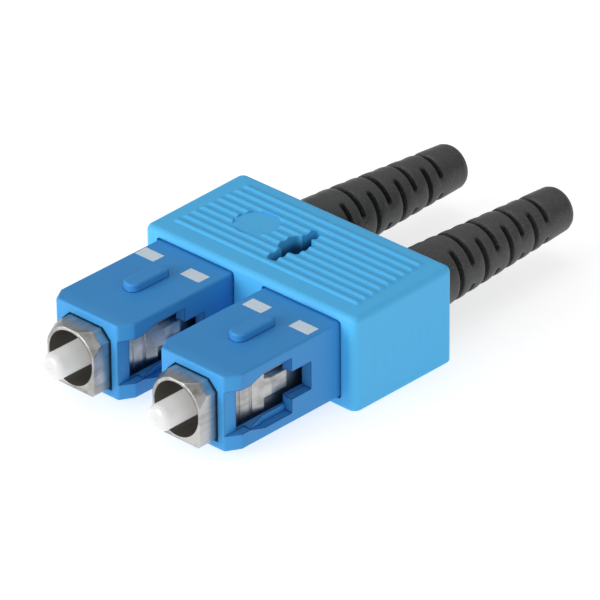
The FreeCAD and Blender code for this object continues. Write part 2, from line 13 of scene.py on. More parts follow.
import bmesh
import bpy
import numpy as np
from mathutils import Matrix, Vector


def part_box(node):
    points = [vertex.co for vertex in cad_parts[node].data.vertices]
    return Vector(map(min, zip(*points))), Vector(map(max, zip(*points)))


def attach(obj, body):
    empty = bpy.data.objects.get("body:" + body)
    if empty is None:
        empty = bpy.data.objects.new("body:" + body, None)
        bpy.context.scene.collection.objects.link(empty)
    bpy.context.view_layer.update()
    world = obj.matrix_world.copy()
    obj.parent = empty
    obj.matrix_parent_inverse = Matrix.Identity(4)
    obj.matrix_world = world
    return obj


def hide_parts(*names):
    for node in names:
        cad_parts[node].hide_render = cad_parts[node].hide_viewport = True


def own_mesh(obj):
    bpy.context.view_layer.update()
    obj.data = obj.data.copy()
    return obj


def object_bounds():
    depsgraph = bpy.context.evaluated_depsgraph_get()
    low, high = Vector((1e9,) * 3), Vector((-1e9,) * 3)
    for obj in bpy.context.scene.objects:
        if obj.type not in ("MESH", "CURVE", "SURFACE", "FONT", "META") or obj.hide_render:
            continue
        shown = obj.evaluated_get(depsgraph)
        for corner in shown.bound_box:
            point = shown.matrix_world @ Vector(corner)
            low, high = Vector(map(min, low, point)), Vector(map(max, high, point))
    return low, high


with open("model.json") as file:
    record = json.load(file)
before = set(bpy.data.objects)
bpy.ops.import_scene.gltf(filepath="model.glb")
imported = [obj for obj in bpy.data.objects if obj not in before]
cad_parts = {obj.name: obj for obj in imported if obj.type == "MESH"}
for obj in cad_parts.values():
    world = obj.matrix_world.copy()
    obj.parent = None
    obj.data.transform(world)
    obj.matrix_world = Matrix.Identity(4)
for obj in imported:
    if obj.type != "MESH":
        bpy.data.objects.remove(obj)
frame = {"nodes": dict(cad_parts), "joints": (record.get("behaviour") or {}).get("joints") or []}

MM = 0.001
SIDES = ("left", "right")
CAD_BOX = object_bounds()
print("CAD box, mm:", [[round(v / MM, 2) for v in corner] for corner in CAD_BOX])

# %% [markdown]
# Everything else is placed from a few lines of the object itself: the axis of each plug, the top
# of its coupling sleeve and the rear face of the clip.  They are read from the boxes of the CAD
# pieces, so a changed model moves the details with it.

# %% Reference lines
def axis_of(side):
    """A point on the plug's axis, at the tip of its ferrule."""
    low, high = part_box(f"{side}_ferrule")
    return Vector(((low.x + high.x) / 2, low.y, (low.z + high.z) / 2))


AXIS = {side: axis_of(side) for side in SIDES}
AXIS_Z = AXIS["left"].z
SLEEVE_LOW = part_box("left_coupling_sleeve")[0]
SLEEVE_TOP = 2 * AXIS_Z - SLEEVE_LOW.z
SLEEVE_FRONT = SLEEVE_LOW.y
CLIP_LOW, CLIP_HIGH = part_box("duplex_clip")
print("plug axes at x", [round(AXIS[s].x / MM, 2) for s in SIDES], "z", round(AXIS_Z / MM, 2))

# %% [markdown]
# The camera looks down on the front corner, as a maker's catalogue would show the plug.  It is
# built from its direction: how far it turns round the plug, how high it stands and how far away.
# It aims a little beside the target, so that the plug fills the frame evenly.  A long lens keeps
# the edges of the clip almost parallel.

# %% Camera
AZIMUTH, ELEVATION, ROLL = 43.7, 29.6, -0.5
DISTANCE, LENS = 0.590, 408.0
TARGET = Vector((0, SLEEVE_FRONT + 13 * MM, AXIS_Z))
AIM_RIGHT, AIM_UP = 4.80 * MM, 1.67 * MM


def look_from(azimuth, elevation, roll, target, distance, lens):
    """A camera that looks at a target from a direction, with a small roll."""
    a, e, r = (math.radians(v) for v in (azimuth, elevation, roll))
    back = Vector((math.sin(a) * math.cos(e), -math.cos(a) * math.cos(e), math.sin(e)))
    level = Vector((math.cos(a), math.sin(a), 0))
    upright = back.cross(level)
    right = math.cos(r) * level + math.sin(r) * upright
    up = back.cross(right)
    aim = target + AIM_RIGHT * right + AIM_UP * up
    camera = bpy.data.objects.new("camera", bpy.data.cameras.new("camera"))
    camera.data.lens = lens
    turned = Matrix((right, up, back)).transposed().to_4x4()
    camera.matrix_world = Matrix.Translation(aim + distance * back) @ turned
    bpy.context.scene.collection.objects.link(camera)
    return camera


bpy.context.scene.camera = look_from(AZIMUTH, ELEVATION, ROLL, TARGET, DISTANCE, LENS)
print("camera lens", bpy.context.scene.camera.data.lens)

# %% [markdown]
# Materials are sums: a colour plus a little noise, a mask times a depth.  They could be wired up
# one Math node at a time, but then nobody can read them.  One small class wraps a node's output
# and gives it the usual operators, so that those sums can be written as sums.

# %% Shader maths
class Value:
    """The output of a node, with arithmetic that adds Math nodes."""

    def __init__(self, finish, socket):
        self.finish = finish
        self.socket = socket

    def _math(self, operation, *terms):
        return self.finish.node("ShaderNodeMath", {"operation": operation}, *terms)

    def __add__(self, other):
        return self._math("ADD", self, other)

    def __sub__(self, other):
        return self._math("SUBTRACT", self, other)

    def __rsub__(self, other):
        return self._math("SUBTRACT", other, self)

    def __mul__(self, other):
        return self._math("MULTIPLY", self, other)

    def __lt__(self, other):
        return self._math("LESS_THAN", self, other)

    def __gt__(self, other):
        return self._math("GREATER_THAN", self, other)

    def __abs__(self):
        return self._math("ABSOLUTE", self)

    def power(self, exponent):
        return self._math("POWER", self, exponent)

    def over(self, low, high):
        """0 below low, 1 above high and smooth between them; low may be the larger one."""
        settings = {"interpolation_type": "SMOOTHSTEP"}
        return self.finish.node("ShaderNodeMapRange", settings, self, low, high, 0.0, 1.0)

    __radd__ = __add__
    __rmul__ = __mul__


print("shader maths: + - * < > abs power over")

# %% [markdown]
# A finish is a material while it is being made.  It knows the Principled shader, adds any node
# with its settings and inputs, and measures in millimetres of the piece itself, so that a grain of
# 0.1 is a tenth of a millimetre on every piece.  Numbers that never change stay out of the node
# tree and go straight on the shader.  Corners are rounded in the shading, by the Bevel node, as a
# radius of a tenth of a millimetre is too small to be worth its faces.

# %% Finish under construction
BEVEL_SAMPLES = 8


class Finish:
    """A material under construction: its shader, its nodes and the millimetre coordinates."""

    def __init__(self, name, **constants):
        self.material = bpy.data.materials.new(name)
        self.material.use_nodes = True
        self.tree = self.material.node_tree
        self.shader = self.tree.nodes["Principled BSDF"]
        for label, value in constants.items():
            self.shader.inputs[label.replace("_", " ")].default_value = value
        coordinates = self.tree.nodes.new("ShaderNodeTexCoord")
        scaled = {"operation": "SCALE"}
        self.place = self.node("ShaderNodeVectorMath", scaled,
                               Value(self, coordinates.outputs["Object"]), Scale=1 / MM)

    def node(self, kind, settings, *values, **named):
        """Any node: first its settings, then its inputs in order, then the named ones."""
        node = self.tree.nodes.new(kind)
        for label, setting in settings.items():
            if label == "stops":
                self._set_stops(node.color_ramp.elements, setting)
            else:
                setattr(node, label, setting)
        for place, value in list(enumerate(values)) + list(named.items()):
            self._feed(node.inputs[place], value)
        return Value(self, next(output for output in node.outputs if output.enabled))

    def _set_stops(self, elements, stops):
        while len(elements) < len(stops):
            elements.new(1.0)
        for element, (position, colour) in zip(elements, stops):
            element.position = position
            element.color = (*colour, 1.0)

    def _feed(self, socket, value):
        if isinstance(value, Value):
            self.tree.links.new(value.socket, socket)
        elif value is not None:
            socket.default_value = value

    def axis(self, letter):
        """One coordinate of the piece, in millimetres."""
        parts = self.tree.nodes.new("ShaderNodeSeparateXYZ")
        self._feed(parts.inputs[0], self.place)
        return Value(self, parts.outputs[letter])

    def facing(self, letter):
        """One part of the surface's direction, from -1 to 1."""
        parts = self.tree.nodes.new("ShaderNodeSeparateXYZ")
        normal = self.tree.nodes.new("ShaderNodeNewGeometry").outputs["Normal"]
        self._feed(parts.inputs[0], Value(self, normal))
        return Value(self, parts.outputs[letter])

    def noise(self, size, detail=3.0, stretch=(1, 1, 1)):
        """Noise from 0 to 1, with features of about this many millimetres."""
        spread = self.node("ShaderNodeVectorMath", {"operation": "MULTIPLY"}, self.place, stretch)
        return self.node("ShaderNodeTexNoise", {}, Vector=spread, Scale=1 / size, Detail=detail)

    def mix(self, mask, first, second):
        """The first colour where the mask is 0 and the second where it is 1."""
        node = self.tree.nodes.new("ShaderNodeMix")
        node.data_type = "RGBA"
        for place, value in (("Factor_Float", mask), ("A_Color", first), ("B_Color", second)):
            socket = next(s for s in node.inputs if s.identifier == place)
            self._feed(socket, (*value, 1.0) if isinstance(value, tuple) else value)
        return Value(self, next(s for s in node.outputs if s.identifier == "Result_Color"))

    def soft_edges(self, radius):
        """Normals that round every sharp edge off by a radius in millimetres."""
        return self.node("ShaderNodeBevel", {"samples": BEVEL_SAMPLES}, radius * MM)

    def edge_mask(self, radius, low, high):
        """1 along the sharp edges, where the rounded normal leaves the true one."""
        true_normal = Value(self, self.tree.nodes.new("ShaderNodeNewGeometry").outputs["Normal"])
        turned = self.node("ShaderNodeVectorMath", {"operation": "DOT_PRODUCT"},
                           self.soft_edges(radius), true_normal)
        dot = next(output for output in turned.socket.node.outputs if output.name == "Value")
        return Value(self, dot).over(high, low)

    def shade(self, colour=None, roughness=None, height=None, depth=0.01, normal=None):
        """Join what varies to the shader; height is in units of depth millimetres."""
        inputs = self.shader.inputs
        self._feed(inputs["Base Color"], colour)
        self._feed(inputs["Roughness"], roughness)
        if height is not None:
            normal = self.node("ShaderNodeBump", {}, Strength=1.0, Distance=depth * MM,
                               Height=height, Normal=normal)
        self._feed(inputs["Normal"], normal)
        print("finish", self.material.name, "has", len(self.tree.nodes), "nodes")
        return self.material


def length_of(across, upward):
    """How far a place lies from an axis, from its two parts."""
    return (across * across + upward * upward).power(0.5)


# %% [markdown]
# The coupling sleeves are moulded in a deep blue, glass-hard plastic.  The mould leaves a fine
# satin texture and a faint flow line where the melt met in front of the key, and thin edges look
# lighter because light passes through them.  Noise gives the first, a narrow mask along the middle
# of the plug the second, and a painted highlight the third: a mask of the sharp edges mixes in a
# paler blue that stands for that light.  The nose, which is thinner than the rest, is painted
# lighter as a whole, for the light that passes through it.

# %% Blue plastic of the sleeves
SLEEVE_BLUE = (0.014, 0.092, 0.365)
SLEEVE_DEEP = (0.011, 0.075, 0.315)
SLEEVE_EDGE = (0.050, 0.330, 0.720)
SLEEVE_NOSE_PAINTED_LIGHT = (0.026, 0.190, 0.460)
NOSE_FROM, NOSE_TO = 0.6, 1.6
KEY_FRONT = SLEEVE_FRONT / MM + 5.0
SLEEVE_EDGE_R = 0.16
PAINTED_EDGE_LIGHT_R = 0.26


def sleeve_finish(side):
    """Each sleeve has its own, because the flow line runs along the plug's middle."""
    finish = Finish(f"{side}_sleeve_plastic", Specular_IOR_Level=0.3)
    cloudy = finish.noise(5.0)
    grain = finish.noise(0.12, 2.0)
    across = abs(finish.axis("X") - AXIS[side].x / MM + 0.2 * finish.noise(3.0) - 0.1)
    on_top = finish.axis("Z").over(SLEEVE_TOP / MM - 0.1, SLEEVE_TOP / MM - 0.02)
    in_front = finish.axis("Y").over(KEY_FRONT, KEY_FRONT - 0.6)
    flow = across.over(0.09, 0.02) * on_top * in_front
    # Painted light: the nose is mixed to a paler blue, which stands for light passing through its
    # thinner wall.
    nose_painted_light = finish.axis("Y").over(SLEEVE_FRONT / MM + NOSE_TO, SLEEVE_FRONT / MM + NOSE_FROM)
    base = finish.mix(nose_painted_light, finish.mix(cloudy, SLEEVE_DEEP, SLEEVE_BLUE), SLEEVE_NOSE_PAINTED_LIGHT)
    # Painted highlight: along the sharp edges the blue is mixed towards a paler one, for light
    # passing through the thin plastic.
    lit = finish.mix(finish.edge_mask(PAINTED_EDGE_LIGHT_R, 0.99, 0.86) * 0.75, base, SLEEVE_EDGE)
    colour = finish.mix(flow * 0.35, lit, SLEEVE_EDGE)
    roughness = 0.34 + 0.14 * cloudy + 0.06 * grain
    height = grain * 0.35 + flow * 1.2
    return finish.shade(colour, roughness, height, 0.008, finish.soft_edges(SLEEVE_EDGE_R))


SLEEVE_PLASTIC = {side: sleeve_finish(side) for side in SIDES}

# %% [markdown]
# The clip is a softer, paler blue.  It is less glossy than the sleeves, and its colour is even,
# so only a slight cloudiness and the fine texture of the mould keep it from looking flat.  Its sharp
# edges get a painted highlight: a mask of them mixes in a paler blue.  The slot in its top is deep
# and narrow.  Its walls light each other more in a render than they do in the real plastic, so a
# mask of the slot's place and depth makes them darker.

# %% Light blue plastic of the clip
CLIP_BLUE = (0.052, 0.390, 0.800)
CLIP_DEEP = (0.042, 0.350, 0.750)
CLIP_EDGE = (0.110, 0.570, 0.920)
SLOT_DARK = (0.008, 0.070, 0.200)
SLOT_HALF_X = 1.5
SLOT_FROM, SLOT_TO = 2.7, 9.3
SLOT_FLOOR = 1.2
SLOT_PALE_TO, SLOT_DARK_FROM = 0.5, 1.6
CLIP_EDGE_R = 0.15
CLIP_PAINTED_LIGHT_R = 0.3


def clip_finish():
    """Pale plastic, with the slot's masks multiplied: in it, deep in it, and off its floor."""
    top = CLIP_HIGH.z / MM
    front = CLIP_LOW.y / MM
    finish = Finish("clip_plastic", Specular_IOR_Level=0.3)
    cloudy = finish.noise(7.0)
    grain = finish.noise(0.15, 2.0)
    base = finish.mix(cloudy, CLIP_DEEP, CLIP_BLUE)
    # Painted highlight: a mask of the sharp edges, at half strength, mixes in the paler edge blue.
    edges = finish.edge_mask(CLIP_PAINTED_LIGHT_R, 0.985, 0.80) * 0.5
    depth = finish.axis("Z").over(top - SLOT_PALE_TO, top - SLOT_DARK_FROM)
    between = (abs(finish.axis("X")) < SLOT_HALF_X) * (finish.axis("Z") > SLOT_FLOOR)
    behind = finish.axis("Y") > front + SLOT_FROM
    in_front = finish.axis("Y") < front + SLOT_TO
    plastic = finish.mix(edges, base, CLIP_EDGE)
    colour = finish.mix(depth * between * behind * in_front * 0.9, plastic, SLOT_DARK)
    roughness = 0.44 + 0.10 * cloudy + 0.06 * grain
    return finish.shade(colour, roughness, grain * 0.4, 0.008, finish.soft_edges(CLIP_EDGE_R))


CLIP_PLASTIC = clip_finish()

# %% [markdown]
# The plug frames are die-cast and plated.  Plating follows every stroke of the polishing below
# it, so the reflections are drawn out along the plug, and the plate is a little brown in patches
# where it grew thin.  The round bore of the nose gets painted shade: a mask of the distance from
# the plug's axis makes it a darker, brownish grey and duller there.

# %% Nickel plate
NICKEL = (0.52, 0.515, 0.50)
NICKEL_THIN = (0.20, 0.19, 0.17)
BORE_PAINTED_SHADE = (0.21, 0.20, 0.18)
NOSE_BORE_R = 2.62
NICKEL_EDGE_R = 0.16


def nickel_finish():
    """One finish for both frames: the two plugs mirror each other about the middle."""
    finish = Finish("nickel_plate", Metallic=1.0)
    strokes = finish.noise(0.5, 4.0, (1.0, 0.12, 1.0))
    patches = finish.noise(1.6, 2.5)
    dull = patches.over(0.40, 0.66) * 0.45 + strokes.over(0.48, 0.72) * 0.30
    plate = finish.mix(dull, NICKEL, NICKEL_THIN)
    across = abs(finish.axis("X")) - AXIS["right"].x / MM
    upward = finish.axis("Z") - AXIS_Z / MM
    in_bore = length_of(across, upward) < NOSE_BORE_R
    # Painted shade: inside the bore the plate is mixed to a dark brownish grey.
    colour = finish.mix(in_bore, plate, BORE_PAINTED_SHADE)
    roughness = 0.20 + 0.14 * strokes + 0.12 * patches + 0.2 * in_bore
    height = strokes * 0.2 + patches * 0.8
    return finish.shade(colour, roughness, height, 0.010, finish.soft_edges(NICKEL_EDGE_R))


NICKEL_PLATE = nickel_finish()

# %% [markdown]
# Zirconia ceramic is ground and polished to a fraction of a thousandth of a millimetre.  It is a
# warm white that lets light in a short way, which softens its shadows.  Light that entered
# elsewhere comes out on the shaded side, and a faint glow stands for it.  The fibre shows as a
# tiny dot in the middle of the tip.

# %% White ceramic
CERAMIC = (0.43, 0.43, 0.425)
CERAMIC_COOL = (0.40, 0.405, 0.41)
FIBRE = (0.20, 0.22, 0.24)
FIBRE_R = 0.0625
TIP_THICK = 0.02
GLOW = (1.0, 1.0, 0.99, 1.0)


def ceramic_finish(side):
    """Each ferrule has its own, because the fibre lies on the plug's axis."""
    finish = Finish(f"{side}_white_ceramic", Subsurface_Weight=0.9, Subsurface_Scale=1.2 * MM,
                    Subsurface_Radius=(1.0, 0.95, 0.9), Coat_Weight=0.3, Coat_Roughness=0.1,
                    Emission_Strength=0.30, Emission_Color=GLOW)
    cloudy = finish.noise(1.5)
    grinding = finish.noise(0.08, 2.0, (1.0, 4.0, 1.0))
    across = finish.axis("X") - AXIS[side].x / MM
    upward = finish.axis("Z") - AXIS_Z / MM
    at_tip = finish.axis("Y") < AXIS[side].y / MM + TIP_THICK
    base = finish.mix(cloudy, CERAMIC_COOL, CERAMIC)
    colour = finish.mix((length_of(across, upward) < FIBRE_R) * at_tip, base, FIBRE)
    return finish.shade(colour, 0.22 + 0.1 * grinding, grinding * 0.3, 0.004)


WHITE_CERAMIC = {side: ceramic_finish(side) for side in SIDES}

# %% [markdown]
# The boots are a soft black elastomer with a matt, slightly dusty skin.  Coarse and fine speckle
# at two scales breaks up both the colour and the height, as the eroded mould does.  The side that
# faces up is painted paler: partly dust that lies there, partly a painted sheen of the light above.

# %% Black rubber
RUBBER = (0.022, 0.023, 0.022)
RUBBER_DUST_AND_SHEEN = (0.100, 0.102, 0.100)


def rubber_finish():
    """Speckle and cloudiness, with dust and a painted sheen where the surface faces up."""
    finish = Finish("boot_rubber", Specular_IOR_Level=0.5)
    speckle = finish.noise(0.16, 3.0)
    fine = finish.noise(0.06, 2.0)
    cloudy = finish.noise(2.5)
    # Painted light: faces that look up are mixed paler, partly dust and partly a painted sheen of
    # the light from above.
    facing_up_dust_and_sheen = finish.facing("Z").over(0.45, 0.95)
    dust_and_sheen = speckle.over(0.48, 0.72) * 0.50 + cloudy * 0.15 + facing_up_dust_and_sheen * 0.38
    colour = finish.mix(dust_and_sheen, RUBBER, RUBBER_DUST_AND_SHEEN)
    roughness = 0.34 + 0.22 * speckle
    return finish.shade(colour, roughness, speckle * 0.8 + fine * 0.4, 0.015)


BOOT_RUBBER = rubber_finish()

# %% [markdown]
# The hidden pieces are finished too, because they show when a plug is pulled back or taken
# apart: drawn spring wire, a plain aluminium crimp sleeve and a milky fluoropolymer tube.

# %% Finishes of the inner pieces
def drawn_finish(name, pale, dark, roughness, metallic, stretch):
    """Metal or plastic that was drawn or turned, with fine lines along or round it."""
    finish = Finish(name, Metallic=metallic)
    lines = finish.noise(0.12, 3.0, stretch)
    cloudy = finish.noise(1.2)
    colour = finish.mix(cloudy, dark, pale)
    return finish.shade(colour, roughness + 0.12 * lines, lines * 0.5, 0.01)


ALONG = (1.0, 0.1, 1.0)
ROUND = (0.2, 2.0, 0.2)
METAL, PLASTIC = 1.0, 0.0
SPRING_WIRE = drawn_finish("spring_wire", (0.56, 0.56, 0.55), (0.42, 0.41, 0.40),
                           0.22, METAL, ROUND)
CRIMP_METAL = drawn_finish("crimp_aluminium", (0.78, 0.78, 0.79), (0.66, 0.66, 0.68),
                           0.3, METAL, ALONG)
TURNED_METAL = drawn_finish("turned_metal", (0.62, 0.60, 0.57), (0.48, 0.46, 0.43),
                            0.25, METAL, ROUND)
MILKY_TUBE = drawn_finish("milky_tube", (0.80, 0.81, 0.80), (0.72, 0.74, 0.73),
                          0.3, PLASTIC, ALONG)

# %% [markdown]
# Every piece rides on a body of the imported model and may stand for pieces of that model, which
# it then hides.

# %% Declaring a piece
def declare(piece, body, slot, *stands_for):
    """Every piece rides on a body and may stand for CAD nodes; the slot argument is not used."""
    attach(piece, body)
    if stands_for:
        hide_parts(*stands_for)
    return piece


# %% [markdown]
# The CAD meshes are right in shape, but they were made for measuring: their long triangles shade
# badly.  Each visible hard piece gets a skin instead, which is the same surface, better prepared.
# Its flat faces are joined up, and its edges are marked sharp or smooth by their angle.  Then a
# grid cuts all of it into small cells.  Blender tilts the shading of a whole face towards a
# rounded edge, and with small faces the tilt ends near that edge.  Wide faces get the last word on
# the direction of the surface, so a flat face stays flat right up to its edge.

# %% Skins of the hard pieces
FLAT_WIDE = 0.5
FOLD = 5.0
CELL = 0.8
WELD = 0.002
FLAT_WITHIN = 0.6
CORNER = 24
SLEEVE_CORNER = 32


def is_sharp(edge, sharp):
    """A real corner, or a slight fold between two wide flat faces."""
    if len(edge.link_faces) != 2:
        return True
    widths = [f.calc_area() / max(e.calc_length() for e in f.edges) for f in edge.link_faces]
    limit = FOLD if min(widths) > FLAT_WIDE * MM else sharp
    return edge.calc_face_angle() > math.radians(limit)


def cut_into_cells(work, low, high):
    """Cut every face along a grid, so that a rounded edge only tilts the shading next to it."""
    for axis in range(3):
        across = Vector([float(n == axis) for n in range(3)])
        for place in np.arange(low[axis] + CELL * MM / 2, high[axis], CELL * MM):
            parts = work.verts[:] + work.edges[:] + work.faces[:]
            bmesh.ops.bisect_plane(work, geom=parts, dist=1e-7, plane_co=across * float(place),
                                   plane_no=across)


def skin_of(node, body, slot, finish, sharp):
    """A copy of a CAD piece with clean faces and marked edges; it stands for that piece."""
    mesh = bpy.data.meshes.new(f"{node}_skin")
    work = bmesh.new()
    work.from_mesh(frame["nodes"][node].data)
    bmesh.ops.remove_doubles(work, verts=work.verts, dist=WELD * MM)
    bmesh.ops.dissolve_limit(work, angle_limit=math.radians(FLAT_WITHIN), verts=work.verts,
                             edges=work.edges)
    for face in work.faces:
        face.smooth = True
    for edge in work.edges:
        edge.smooth = not is_sharp(edge, sharp)
    cut_into_cells(work, *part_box(node))
    work.to_mesh(mesh)
    work.free()
    mesh.materials.clear()
    mesh.materials.append(finish)
    piece = bpy.data.objects.new(f"{node}_skin", mesh)
    bpy.context.scene.collection.objects.link(piece)
    flatter = piece.modifiers.new("flat_faces", "WEIGHTED_NORMAL")
    flatter.mode = "FACE_AREA"
    flatter.weight = 100
    flatter.keep_sharp = True
    return declare(piece, body, slot, node)


SKINS = [skin_of("duplex_clip", "case", "clip_blue", CLIP_PLASTIC, CORNER)]
for side in SIDES:
    SKINS += [
        skin_of(f"{side}_coupling_sleeve", "case", "sleeve_blue", SLEEVE_PLASTIC[side],
                SLEEVE_CORNER),
        skin_of(f"{side}_plug_frame", f"{side}_plug", "nickel", NICKEL_PLATE, CORNER),
    ]
for piece in SKINS:
    print(piece.name, len(piece.data.polygons), "faces")

# %% [markdown]
# Round and wound pieces are lofts: rings of points, one after another, joined by quads.  One
# helper takes the rings as an array, joins each to the next, and may join the last to the first,
# so that a sleeve with a bore is one closed skin.  Subdivision would do for a plain tube, but not
# for one that is slotted, and numbers are quick to turn into rings.

# %% Loft helper
LOFT_CORNER = 40


def loft(name, rings, finish, closed):
    """A mesh through rings of points in millimetres; closed joins the last ring to the first."""
    rows, columns = rings.shape[:2]
    index = np.arange(rows * columns).reshape(rows, columns)
    beside = np.roll(index, -1, axis=1)
    faces = []
    for row in range(rows if closed else rows - 1):
        ahead = (row + 1) % rows
        faces += np.stack([index[row], beside[row], beside[ahead], index[ahead]], -1).tolist()
    if not closed:
        faces += [index[0].tolist(), index[-1][::-1].tolist()]
    mesh = bpy.data.meshes.new(name)
    mesh.from_pydata((rings.reshape(-1, 3) * MM).tolist(), [], faces)
    work = bmesh.new()
    work.from_mesh(mesh)
    bmesh.ops.recalc_face_normals(work, faces=work.faces)
    work.to_mesh(mesh)
    work.free()
    mesh.shade_smooth()
    mesh.set_sharp_from_angle(angle=math.radians(LOFT_CORNER))
    mesh.materials.append(finish)
    piece = bpy.data.objects.new(name, mesh)
    bpy.context.scene.collection.objects.link(piece)
    return piece


def rings_about(centres, radii, along, columns):
    """Rings of a turned shape: one centre (x, z), radius and place along Y for each ring."""
    angle = np.linspace(0, 2 * math.pi, columns, endpoint=False)
    x = centres[:, :1] + radii * np.cos(angle)
    z = centres[:, 1:] + radii * np.sin(angle)
    y = np.broadcast_to(along[:, None], x.shape)
    return np.stack([x, y, z], -1)


# %% [markdown]
# A boot must bend without kinking, so rings of slots are cut into it, each one a quarter turn
# from the last.  The two boots are not quite alike: soft rubber stretches as it is pushed over the
# crimp, so the rings start and step a little differently, and each boot hangs in its own way.

# %% Boot sizes, in millimetres
BOOT_COLUMNS = 256
RING_PITCH = {"left": 3.60, "right": 3.47}
RING_STEP = 1.70
FIRST_RING = {"left": 4.45, "right": 4.87}
SLOT_HALF_WIDE = 0.23
SLOT_DEEP = 1.0
SLOT_FLOOR_R = 1.6
SIDE_ARC = math.radians(122)
UPRIGHT_ARC = math.radians(142)
BULGE = 0.05
HELD_R, ROOT_R, END_R = 2.8, 3.08, 2.10
BORE_R, NECK_R, CRIMP_R = 1.5, 1.86, 2.26
END_ROUND = 0.5
TAPER_AFTER = 3.0
DROOP = {"left": (0.0, 0.5), "right": (0.2, 0.0)}
DROOP_AT_END = 0.78


def slots_of(side):
    """Place, middle angle and arc of every slot in one boot."""
    slots = []
    for ring in range(4):
        y = CLIP_HIGH.y / MM + FIRST_RING[side] + ring * RING_PITCH[side]
        for turn in (0.0, math.pi):
            slots += [(y, turn, SIDE_ARC), (y + RING_STEP, turn + math.pi / 2, UPRIGHT_ARC)]
    return slots


print("slots in each boot:", len(slots_of("left")))

# %% [markdown]
# The slots could be cut with Boolean solids, but their soft lips would be lost.  Here they are a
# height field: for each point of the skin its distance from the rounded outline of the nearest
# slot says how deep it is pushed in.  The rubber between two slots bulges a little.  Rows of
# points stand close together near a slot and further apart elsewhere.

# %% Slots as a height field
ROW_STEP = 0.25
ROWS_AT_SLOT = (-0.32, -0.25, -0.21, -0.17, -0.1, 0, 0.1, 0.17, 0.21, 0.25, 0.32)
ROWS_APART = 0.03
FAR = 9.0


def slot_distance(slots, y, angle, radius):
    """Distance from each point of the skin to the outline of the nearest slot, negative inside."""
    nearest = np.full(np.broadcast(y, angle).shape, FAR)
    for slot_y, middle, arc in slots:
        turn = np.abs((angle - middle + math.pi) % (2 * math.pi) - math.pi)
        past_end = np.maximum(turn * radius - (arc / 2 * radius - SLOT_HALF_WIDE), 0)
        nearest = np.minimum(nearest, np.hypot(past_end, y - slot_y) - SLOT_HALF_WIDE)
    return nearest


def smooth(value, low, high):
    """0 below low, 1 above high and smooth between them; low may be the larger one."""
    share = np.clip((value - low) / (high - low), 0, 1)
    return share * share * (3 - 2 * share)


def boot_rows(slots, front, end):
    """Places of the rows along the boot: even, and close together at every slot."""
    rows = list(np.arange(front, end - END_ROUND, ROW_STEP))
    for slot_y in sorted({slot[0] for slot in slots}):
        rows += [slot_y + off for off in ROWS_AT_SLOT]
    rows = np.sort(np.array(rows))
    return rows[np.insert(np.diff(rows) > ROWS_APART, 0, True)]


def even_rings(radii):
    """The same radius all the way round, for each of some rings."""
    return np.repeat(np.asarray(radii)[:, None], BOOT_COLUMNS, 1)


print("rows near each ring of slots:", len(ROWS_AT_SLOT))

# %% [markdown]
# The skin of a boot runs from the end inside the clip over the outside to the open end, round its
# lip, and back through the bore, which widens in two steps for the crimp.  It sags along a smooth
# curve, as the cable would pull it.

# %% Boots
HELD_TO, ROOT_FROM, ROWS_FROM = 3.65, 4.25, 4.5


def boot(side):
    """One closed skin: outside with its slots, rounded end, and bore."""
    low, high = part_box(f"{side}_boot")
    front, end = low.y / MM, high.y / MM
    clip_end = CLIP_HIGH.y / MM
    slope = (ROOT_R - END_R) / (end - clip_end - TAPER_AFTER)
    slots = slots_of(side)
    rows = boot_rows(slots, front + ROWS_FROM, end)
    held = [front, front + HELD_TO]
    round_off = np.linspace(0, math.pi / 2, 7)
    taper = [front + HELD_TO, front + ROOT_FROM, clip_end + TAPER_AFTER, end]
    outer_r = np.interp(rows, taper, [HELD_R, ROOT_R, ROOT_R, END_R])
    end_y = end - END_ROUND + END_ROUND * np.sin(round_off)
    end_r = END_R - END_ROUND + END_ROUND * np.cos(round_off)
    end_r += np.interp(end_y, [end - END_ROUND, end], [slope * END_ROUND, 0])
    bore = [(end, BORE_R + 0.04), (end - 0.3, BORE_R), (end - 8, BORE_R), (front + 10.9, BORE_R),
            (front + 10.3, NECK_R), (front + 6.8, NECK_R), (front + 6.0, CRIMP_R), (front, CRIMP_R)]
    bore_y, bore_r = np.array(bore).T
    angle = np.linspace(0, 2 * math.pi, BOOT_COLUMNS, endpoint=False)[None, :]
    apart = slot_distance(slots, rows[:, None], angle, outer_r[:, None])
    swell = BULGE * smooth(apart, 0.0, 0.55) * smooth(rows, clip_end + 3.5, clip_end + 4.5)[:, None]
    cut = np.minimum(SLOT_DEEP, outer_r[:, None] - SLOT_FLOOR_R) * smooth(apart, 0.04, -0.05)
    lip = 0.05 * smooth(apart, 0.16, 0.0)
    skin_r = outer_r[:, None] + swell - cut - lip
    along = np.concatenate([held, rows, end_y, bore_y])
    radii = np.concatenate([even_rings([HELD_R, HELD_R]), skin_r, even_rings(end_r),
                            even_rings(bore_r)])
    settle, tail = DROOP[side]
    sag = settle * smooth(along, front + 4, clip_end)
    sag += tail * smooth(along, clip_end - 2, end + 8) / DROOP_AT_END
    centres = np.stack([np.full(along.shape, AXIS[side].x / MM), AXIS_Z / MM - sag], -1)
    rings = rings_about(centres, radii, along, BOOT_COLUMNS)
    piece = loft(f"{side}_boot_skin", rings, BOOT_RUBBER, True)
    return declare(piece, f"{side}_plug", "boot", f"{side}_boot")


for side in SIDES:
    piece = boot(side)
    print(piece.name, len(piece.data.polygons) * 2, "triangles")

# %% [markdown]
# The ferrule spring is wound from round wire. Its first and last turn lie flat, with almost no
# gap to the next one, so that it pushes evenly on the flange; the five turns between them are the
# ones that work.

# %% Springs
WORKING_TURNS = 5
DEAD_TURNS = 1
DEAD_PITCH = 2.02
WIRE_R = 0.225
WIRE_COLUMNS = 16
STEPS_PER_TURN = 48


